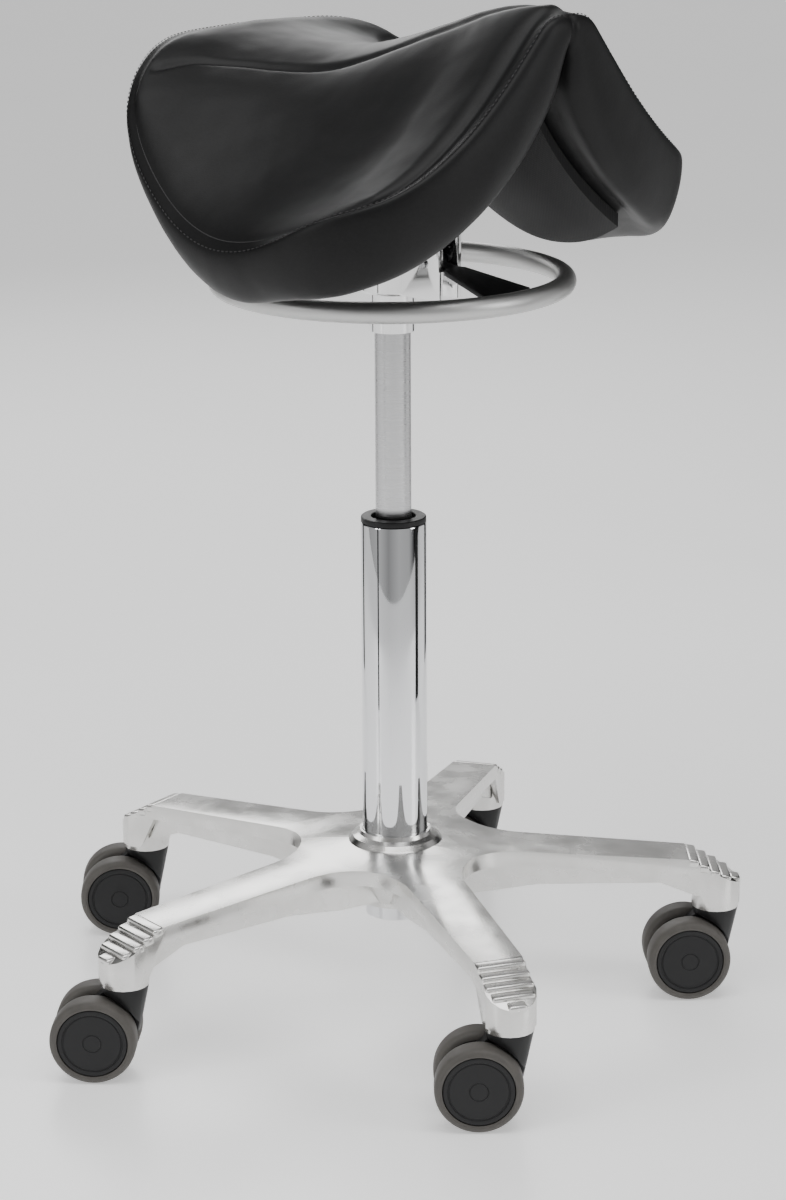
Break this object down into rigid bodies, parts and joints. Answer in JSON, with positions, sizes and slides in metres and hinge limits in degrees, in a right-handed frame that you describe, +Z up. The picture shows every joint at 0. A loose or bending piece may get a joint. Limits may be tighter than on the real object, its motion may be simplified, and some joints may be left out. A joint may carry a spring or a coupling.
{
  "type": "dentist stool",
  "caption": "Saddle stool with a cast aluminium star base on twin-wheel castors, a chrome gas-lift column, a height ring and a padded black saddle seat.",
  "frame": {"origin": "on the floor, on the column's axis, which is the centre of the footprint", "axes": "+Z up along the column; one leg points almost along +X; the seat faces 44 degrees clockwise of +X seen from above"},
  "size_m": [0.5267, 0.5273, 0.777],
  "materials": {
    "cast_aluminium": "satin",
    "chrome_tube": "mirror",
    "satin_steel": "satin",
    "polished_housing": "polished",
    "black_plastic": "satin",
    "wheel_disc": "satin",
    "wheel_tread": "matt",
    "buffer_rubber": "matt",
    "seat_leatherette": "matt, fine grain"
  },
  "bodies": {
    "base": {"base_star": "cast_aluminium", "stand_tube": "chrome_tube", "guide_bush": "black_plastic"},
    "swivel": {"piston_rod": "satin_steel", "retaining_clip": "satin_steel", "thrust_washer": "satin_steel", "end_buffer": "buffer_rubber"},
    "lift": {"gas_cylinder": "satin_steel", "mechanism_housing": "polished_housing", "lever_pin": "satin_steel", "seat_shell": "black_plastic", "seat_cushion": "seat_leatherette", "seat_screw_1": "satin_steel", "seat_screw_2": "satin_steel", "seat_screw_3": "satin_steel", "seat_screw_4": "satin_steel"},
    "lever": {"release_lever": "black_plastic", "height_ring": "satin_steel"},
    "release_pin": {"release_pin": "satin_steel"},
    "castor_1": {"castor_1_stem": "satin_steel", "castor_1_hood": "black_plastic", "castor_1_axle": "satin_steel"},
    "wheel_1a": {"wheel_1a_hub": "wheel_disc", "wheel_1a_tyre": "wheel_tread"},
    "wheel_1b": {"wheel_1b_hub": "wheel_disc", "wheel_1b_tyre": "wheel_tread"},
    "castor_2": {"castor_2_stem": "satin_steel", "castor_2_hood": "black_plastic", "castor_2_axle": "satin_steel"},
    "wheel_2a": {"wheel_2a_hub": "wheel_disc", "wheel_2a_tyre": "wheel_tread"},
    "wheel_2b": {"wheel_2b_hub": "wheel_disc", "wheel_2b_tyre": "wheel_tread"},
    "castor_3": {"castor_3_stem": "satin_steel", "castor_3_hood": "black_plastic", "castor_3_axle": "satin_steel"},
    "wheel_3a": {"wheel_3a_hub": "wheel_disc", "wheel_3a_tyre": "wheel_tread"},
    "wheel_3b": {"wheel_3b_hub": "wheel_disc", "wheel_3b_tyre": "wheel_tread"},
    "castor_4": {"castor_4_stem": "satin_steel", "castor_4_hood": "black_plastic", "castor_4_axle": "satin_steel"},
    "wheel_4a": {"wheel_4a_hub": "wheel_disc", "wheel_4a_tyre": "wheel_tread"},
    "wheel_4b": {"wheel_4b_hub": "wheel_disc", "wheel_4b_tyre": "wheel_tread"},
    "castor_5": {"castor_5_stem": "satin_steel", "castor_5_hood": "black_plastic", "castor_5_axle": "satin_steel"},
    "wheel_5a": {"wheel_5a_hub": "wheel_disc", "wheel_5a_tyre": "wheel_tread"},
    "wheel_5b": {"wheel_5b_hub": "wheel_disc", "wheel_5b_tyre": "wheel_tread"}
  },
  "joints": [
    {"name": "seat_swivel", "type": "hinge", "parent": "base", "child": "swivel", "pos_m": [0, 0, 0.07], "axis": [0, 0, 1], "continuous": true},
    {"name": "height", "type": "slide", "parent": "swivel", "child": "lift", "axis": [0, 0, 1], "range_m": [-0.13, 0]},
    {"name": "lever_hinge", "type": "hinge", "parent": "lift", "child": "lever", "pos_m": [0.03093, -0.02987, 0.583], "axis": [-0.6947, -0.7193, 0], "range_deg": [0, 5], "stiffness_Nm_per_rad": 25, "springref_deg": -6.88},
    {"name": "release_pin_slide", "type": "slide", "parent": "lift", "child": "release_pin", "axis": [0, 0, 1], "range_m": [-0.0039, 0]},
    {"name": "castor_1_swivel", "type": "hinge", "parent": "base", "child": "castor_1", "pos_m": [0.24897, 0.00374, 0.08], "axis": [0, 0, 1], "continuous": true},
    {"name": "wheel_1a_roll", "type": "hinge", "parent": "castor_1", "child": "wheel_1a", "pos_m": [0.227, 0.00259, 0.0321], "axis": [-0.0523, 0.9986, 0], "continuous": true},
    {"name": "wheel_1b_roll", "type": "hinge", "parent": "castor_1", "child": "wheel_1b", "pos_m": [0.227, 0.00259, 0.0321], "axis": [-0.0523, 0.9986, 0], "continuous": true},
    {"name": "castor_2_swivel", "type": "hinge", "parent": "base", "child": "castor_2", "pos_m": [0.07338, 0.23794, 0.08], "axis": [0, 0, 1], "continuous": true},
    {"name": "wheel_2a_roll", "type": "hinge", "parent": "castor_2", "child": "wheel_2a", "pos_m": [0.0514, 0.23871, 0.0321], "axis": [0.0349, 0.9994, 0], "continuous": true},
    {"name": "wheel_2b_roll", "type": "hinge", "parent": "castor_2", "child": "wheel_2b", "pos_m": [0.0514, 0.23871, 0.0321], "axis": [0.0349, 0.9994, 0], "continuous": true},
    {"name": "castor_3_swivel", "type": "hinge", "parent": "base", "child": "castor_3", "pos_m": [-0.20362, 0.14332, 0.08], "axis": [0, 0, 1], "continuous": true},
    {"name": "wheel_3a_roll", "type": "hinge", "parent": "castor_3", "child": "wheel_3a", "pos_m": [-0.22561, 0.14255, 0.0321], "axis": [-0.0349, 0.9994, 0], "continuous": true},
    {"name": "wheel_3b_roll", "type": "hinge", "parent": "castor_3", "child": "wheel_3b", "pos_m": [-0.22561, 0.14255, 0.0321], "axis": [-0.0349, 0.9994, 0], "continuous": true},
    {"name": "castor_4_swivel", "type": "hinge", "parent": "base", "child": "castor_4", "pos_m": [-0.19923, -0.14937, 0.08], "axis": [0, 0, 1], "continuous": true},
    {"name": "wheel_4a_roll", "type": "hinge", "parent": "castor_4", "child": "wheel_4a", "pos_m": [-0.2212, -0.14821, 0.0321], "axis": [0.0523, 0.9986, 0], "continuous": true},
    {"name": "wheel_4b_roll", "type": "hinge", "parent": "castor_4", "child": "wheel_4b", "pos_m": [-0.2212, -0.14821, 0.0321], "axis": [0.0523, 0.9986, 0], "continuous": true},
    {"name": "castor_5_swivel", "type": "hinge", "parent": "base", "child": "castor_5", "pos_m": [0.08049, -0.23563, 0.08], "axis": [0, 0, 1], "continuous": true},
    {"name": "wheel_5a_roll", "type": "hinge", "parent": "castor_5", "child": "wheel_5a", "pos_m": [0.05849, -0.23563, 0.0321], "axis": [0, 1, 0], "continuous": true},
    {"name": "wheel_5b_roll", "type": "hinge", "parent": "castor_5", "child": "wheel_5b", "pos_m": [0.05849, -0.23563, 0.0321], "axis": [0, 1, 0], "continuous": true}
  ],
  "couplings": [
    {"joint": "release_pin_slide", "follows": "lever_hinge", "m_per_rad": -0.043}
  ]
}
